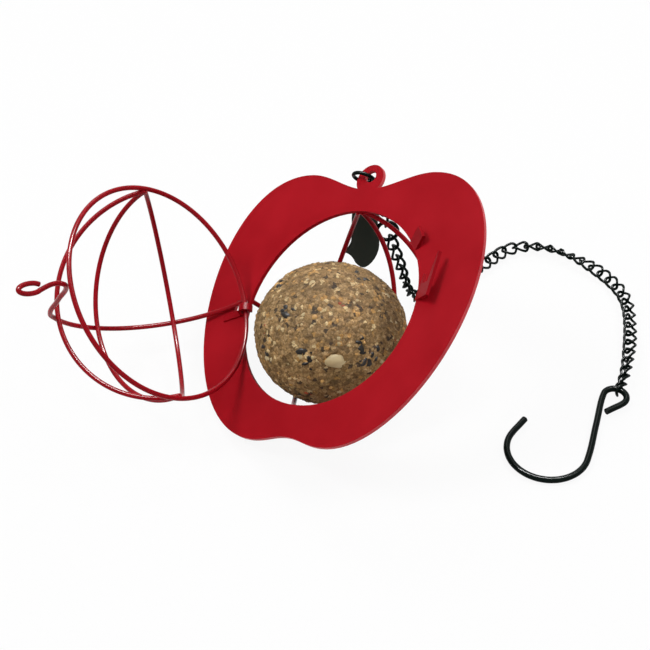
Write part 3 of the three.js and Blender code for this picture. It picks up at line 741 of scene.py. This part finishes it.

# %% [markdown]
# Its finish works on three scales. Each grain of about one and a half millimetres takes one tint out of a
# list, from dark husk to cream fat. A finer grit varies its brightness, the gaps between the grains are
# darkened as painted shade, and a slow noise shades whole regions. The places are first shaken by a noise,
# or the cells would show straight sides. Every span below reads: lowest and highest value, then what these
# become. The surface is dull.

# %% Ball finish
GRAIN_SCALE = 620
GRIT_SCALE = 1500
SHAKE_SCALE = 800
SHAKE = 1.4 * MM
SLOW_SCALE = 75
GAP_SHADE_SPAN = (0, 0.12, 0.70, 1.0)
GRIT_SPAN = (0, 1, 0.72, 1.28)
SLOW_SPAN = (0.35, 0.65, 0.84, 1.14)
CRUMB_SPAN = (0.1, 0.9, 0.78, 1.22)
ROUGHNESS_SPAN = (0, 1, 0.58, 0.86)
BALL_BUMP = 0.6
BALL_BUMP_DEPTH = 0.4 * MM
BALL_SHINE = 0.04
GRAIN_TINTS = (
    (0.00, (0.066, 0.045, 0.028)),
    (0.03, (0.168, 0.103, 0.046)),
    (0.22, (0.248, 0.150, 0.063)),
    (0.50, (0.300, 0.185, 0.078)),
    (0.76, (0.354, 0.228, 0.104)),
    (0.91, (0.410, 0.228, 0.076)),
    (0.955, (0.540, 0.395, 0.200)),
)


def crumbs_and_fat():
    look = bpy.data.materials.new("crumbs_and_fat")
    look.use_nodes = True
    tree = look.node_tree
    shader = tree.nodes["Principled BSDF"]

    def node(kind, **settings):
        made = tree.nodes.new("ShaderNode" + kind)
        for key, value in settings.items():
            setattr(made, key, value)
        return made

    def times(first, second):
        product = node("Math", operation="MULTIPLY")
        tree.links.new(first, product.inputs[0])
        tree.links.new(second, product.inputs[1])
        return product.outputs[0]

    def spread(value, span):
        made = node("MapRange")
        for socket, number in zip(made.inputs[1:5], span):
            socket.default_value = number
        tree.links.new(value, made.inputs[0])
        return made.outputs["Result"]

    def cells(feature, scale, place):
        made = node("TexVoronoi", feature=feature)
        made.inputs["Scale"].default_value = scale
        tree.links.new(place, made.inputs["Vector"])
        return made

    where = node("TexCoord").outputs["Object"]
    shake = node("TexNoise")
    shake.inputs["Scale"].default_value = SHAKE_SCALE
    tree.links.new(where, shake.inputs["Vector"])
    shift = node("VectorMath", operation="SCALE")
    shift.inputs["Scale"].default_value = SHAKE
    tree.links.new(shake.outputs["Color"], shift.inputs[0])
    shaken = node("VectorMath", operation="ADD")
    tree.links.new(where, shaken.inputs[0])
    tree.links.new(shift.outputs[0], shaken.inputs[1])
    place = shaken.outputs[0]

    pick = node("SeparateColor")
    tree.links.new(cells("F1", GRAIN_SCALE, place).outputs["Color"], pick.inputs[0])
    tint = node("ValToRGB")
    tint.color_ramp.interpolation = "CONSTANT"
    stops = tint.color_ramp.elements
    stops[0].color = (*GRAIN_TINTS[0][1], 1)
    stops[1].position = GRAIN_TINTS[1][0]
    stops[1].color = (*GRAIN_TINTS[1][1], 1)
    for position, colour in GRAIN_TINTS[2:]:
        stops.new(position).color = (*colour, 1)
    tree.links.new(pick.outputs[0], tint.inputs[0])

    gap = cells("DISTANCE_TO_EDGE", GRAIN_SCALE, place).outputs["Distance"]
    grit = node("SeparateColor")
    tree.links.new(cells("F1", GRIT_SCALE, place).outputs["Color"], grit.inputs[0])
    slow = node("TexNoise")
    slow.inputs["Scale"].default_value = SLOW_SCALE
    tree.links.new(where, slow.inputs["Vector"])
    crumb = node("Attribute", attribute_name="crumb_shade")
    # Near the edges of the grains the colour is darkened: painted shade in the gaps between them.
    strength = times(spread(gap, GAP_SHADE_SPAN), spread(grit.outputs[1], GRIT_SPAN))
    strength = times(strength, spread(slow.outputs[0], SLOW_SPAN))
    strength = times(strength, spread(crumb.outputs["Fac"], CRUMB_SPAN))
    colour = node("VectorMath", operation="SCALE")
    tree.links.new(tint.outputs[0], colour.inputs[0])
    tree.links.new(strength, colour.inputs["Scale"])
    tree.links.new(colour.outputs[0], shader.inputs["Base Color"])
    tree.links.new(spread(grit.outputs[2], ROUGHNESS_SPAN), shader.inputs["Roughness"])
    bump = node("Bump")
    bump.inputs["Strength"].default_value = BALL_BUMP
    bump.inputs["Distance"].default_value = BALL_BUMP_DEPTH
    tree.links.new(strength, bump.inputs["Height"])
    tree.links.new(bump.outputs[0], shader.inputs["Normal"])
    shader.inputs["Specular IOR Level"].default_value = BALL_SHINE
    return look


settle(ball, Matrix.Translation(BALL_CENTRE) @ Matrix.Scale(MM, 4))
hand_over(ball, "food_ball", "ball", "fat_and_seed", crumbs_and_fat(), "fat_ball")

# %% [markdown]
# Whole seeds and grains stand in the surface: dark sunflower husks, round yellow millet, red berries and
# pale chips of nut. Each kind is modelled once as a small rounded body, then copied all round the ball in
# small groups. The groups follow an even spiral, and the seeds of a group lie close beside each other.
# Every copy gets its own ragged shape and is pressed in to most of its thickness, and all of a kind are
# joined to one piece. Chance has fixed seeds, so that each run gives the same ball.

# %% Seeds and grains
GOLDEN_ANGLE = math.pi * (3 - math.sqrt(5))
GROUP_SPREAD = 3.4
RAGGED_SEED = 3
RAGGED_SCALE = 0.9
RAGGED_STEP = 7.3
SEED_TIP = 14
SEED_LENGTHS = (0.7, 1.15)
SEED_WIDTHS = (0.7, 1.2)
SEED_PEEL = 0.3
SEED_SHINE = 0.07
SEED_ROUNDS = 2

noise.seed_set(RAGGED_SEED)


def speckled(name, deep, light, rough):
    return coated_steel(name, deep, light, rough, peel=SEED_PEEL, shine=SEED_SHINE)


def seed_body(length, width, thickness, point):
    """A rounded body along X, narrowed towards +X by a share."""
    bpy.ops.object.select_all(action="DESELECT")
    bpy.ops.mesh.primitive_ico_sphere_add(subdivisions=SEED_ROUNDS, radius=0.5)
    seed = bpy.context.object
    for vertex in seed.data.vertices:
        narrow = 1 - point * max(0.0, vertex.co.x * 2)
        vertex.co.x *= length
        vertex.co.y *= width * narrow
        vertex.co.z *= thickness * narrow
    return seed


def spiral(count, shift):
    """Directions spread evenly over a ball."""
    ways = []
    for index in range(count):
        rise = 1 - 2 * (index + 0.5) / count
        level = math.sqrt(1 - rise * rise)
        angle = GOLDEN_ANGLE * index + shift
        ways.append(Vector((level * math.cos(angle), level * math.sin(angle), rise)))
    return ways


def scatter(name, seed, ways, finish, group, sunk, sizes, ragged, spins=(0, 360)):
    """Copies a seed over the ball in groups, each sunk by some tenths of a millimetre, as one piece."""
    dice = random.Random(name)
    copies = []
    for index in range(len(ways) * group):
        aside = Vector([dice.uniform(-1, 1) for axis in range(3)]) * GROUP_SPREAD / BALL_RADIUS
        way = (ways[index // group] + aside).normalized()
        size = dice.uniform(*sizes)
        spot = ball_surface(way)[0] - way * sunk * size
        facing = way.to_track_quat("Z", "Y").to_matrix().to_4x4()
        spin = turn(dice.uniform(*spins), "Z")
        tip = turn(dice.uniform(-SEED_TIP, SEED_TIP), "Y")
        stretch = Matrix.Diagonal((dice.uniform(*SEED_LENGTHS), dice.uniform(*SEED_WIDTHS), 1, 1))
        copy = seed.copy()
        copy.data = seed.data.copy()
        bpy.context.scene.collection.objects.link(copy)
        own_noise = Vector((RAGGED_STEP * index, 0, 0))
        for vertex in copy.data.vertices:
            vertex.co += noise.noise_vector(vertex.co * RAGGED_SCALE + own_noise) * ragged
        settle(copy, Matrix.Translation(spot) @ facing @ spin @ tip @ stretch @ Matrix.Scale(size, 4))
        copies.append(copy)
    bpy.data.objects.remove(seed)
    bpy.ops.object.select_all(action="DESELECT")
    for copy in copies:
        copy.select_set(True)
    bpy.context.view_layer.objects.active = copies[0]
    bpy.ops.object.join()
    piece = bpy.context.object
    smooth(piece, SOFT_SMOOTHING)
    settle(piece, Matrix.Translation(BALL_CENTRE) @ Matrix.Scale(MM, 4))
    hand_over(piece, name, "ball", "fat_and_seed", finish)
    print(name, len(copies))


husk = speckled("dark_husk", (0.014, 0.012, 0.010), (0.040, 0.036, 0.032), 0.45)
millet = speckled("yellow_millet", (0.46, 0.25, 0.080), (0.58, 0.36, 0.14), 0.55)
nut = speckled("pale_nut", (0.40, 0.30, 0.15), (0.56, 0.45, 0.26), 0.6)
berry = speckled("red_berry", (0.26, 0.050, 0.020), (0.36, 0.09, 0.035), 0.5)

# %% [markdown]
# Dark husks lie where the photograph shows groups of them, and on a spiral over the rest of the ball. One
# broad piece of nut stands out at the front.

# %% Seeds in their places
HUSK_GROUPS = (
    (0.538, -0.767, 0.350),
    (0.440, -0.850, 0.290),
    (-0.351, -0.837, 0.421),
    (-0.300, -0.880, 0.330),
    (-0.536, -0.393, 0.747),
)
BROAD_NUT = (0.025, -0.924, 0.382)

husks = seed_body(length=4.4, width=2.7, thickness=1.9, point=0.5)
husk_ways = [Vector(way) for way in HUSK_GROUPS] + spiral(10, 0.4)
scatter("sunflower_husks", husks, husk_ways, husk, group=4, sunk=0.5, sizes=(0.5, 1.2), ragged=0.45)
grains = seed_body(length=2.6, width=2.6, thickness=2.4, point=0.1)
scatter("millet_grains", grains, spiral(20, 1.9), millet, group=2, sunk=0.5, sizes=(0.75, 1.0), ragged=0.12)
chips = seed_body(length=5.0, width=3.4, thickness=1.8, point=0.35)
scatter("nut_chips", chips, spiral(34, 3.1), nut, group=2, sunk=0.62, sizes=(0.35, 0.95), ragged=0.5)
bits = seed_body(length=2.6, width=1.8, thickness=1.4, point=0.3)
scatter("berry_bits", bits, spiral(9, 5.0), berry, group=2, sunk=0.35, sizes=(0.5, 1.0), ragged=0.3)
broad = seed_body(length=11.4, width=7.4, thickness=2.8, point=0.3)
broad_way = [Vector(BROAD_NUT)]
scatter("broad_nut", broad, broad_way, nut, group=1, sunk=0.35, sizes=(0.95, 1.0), ragged=1.4, spins=(-8, 8))
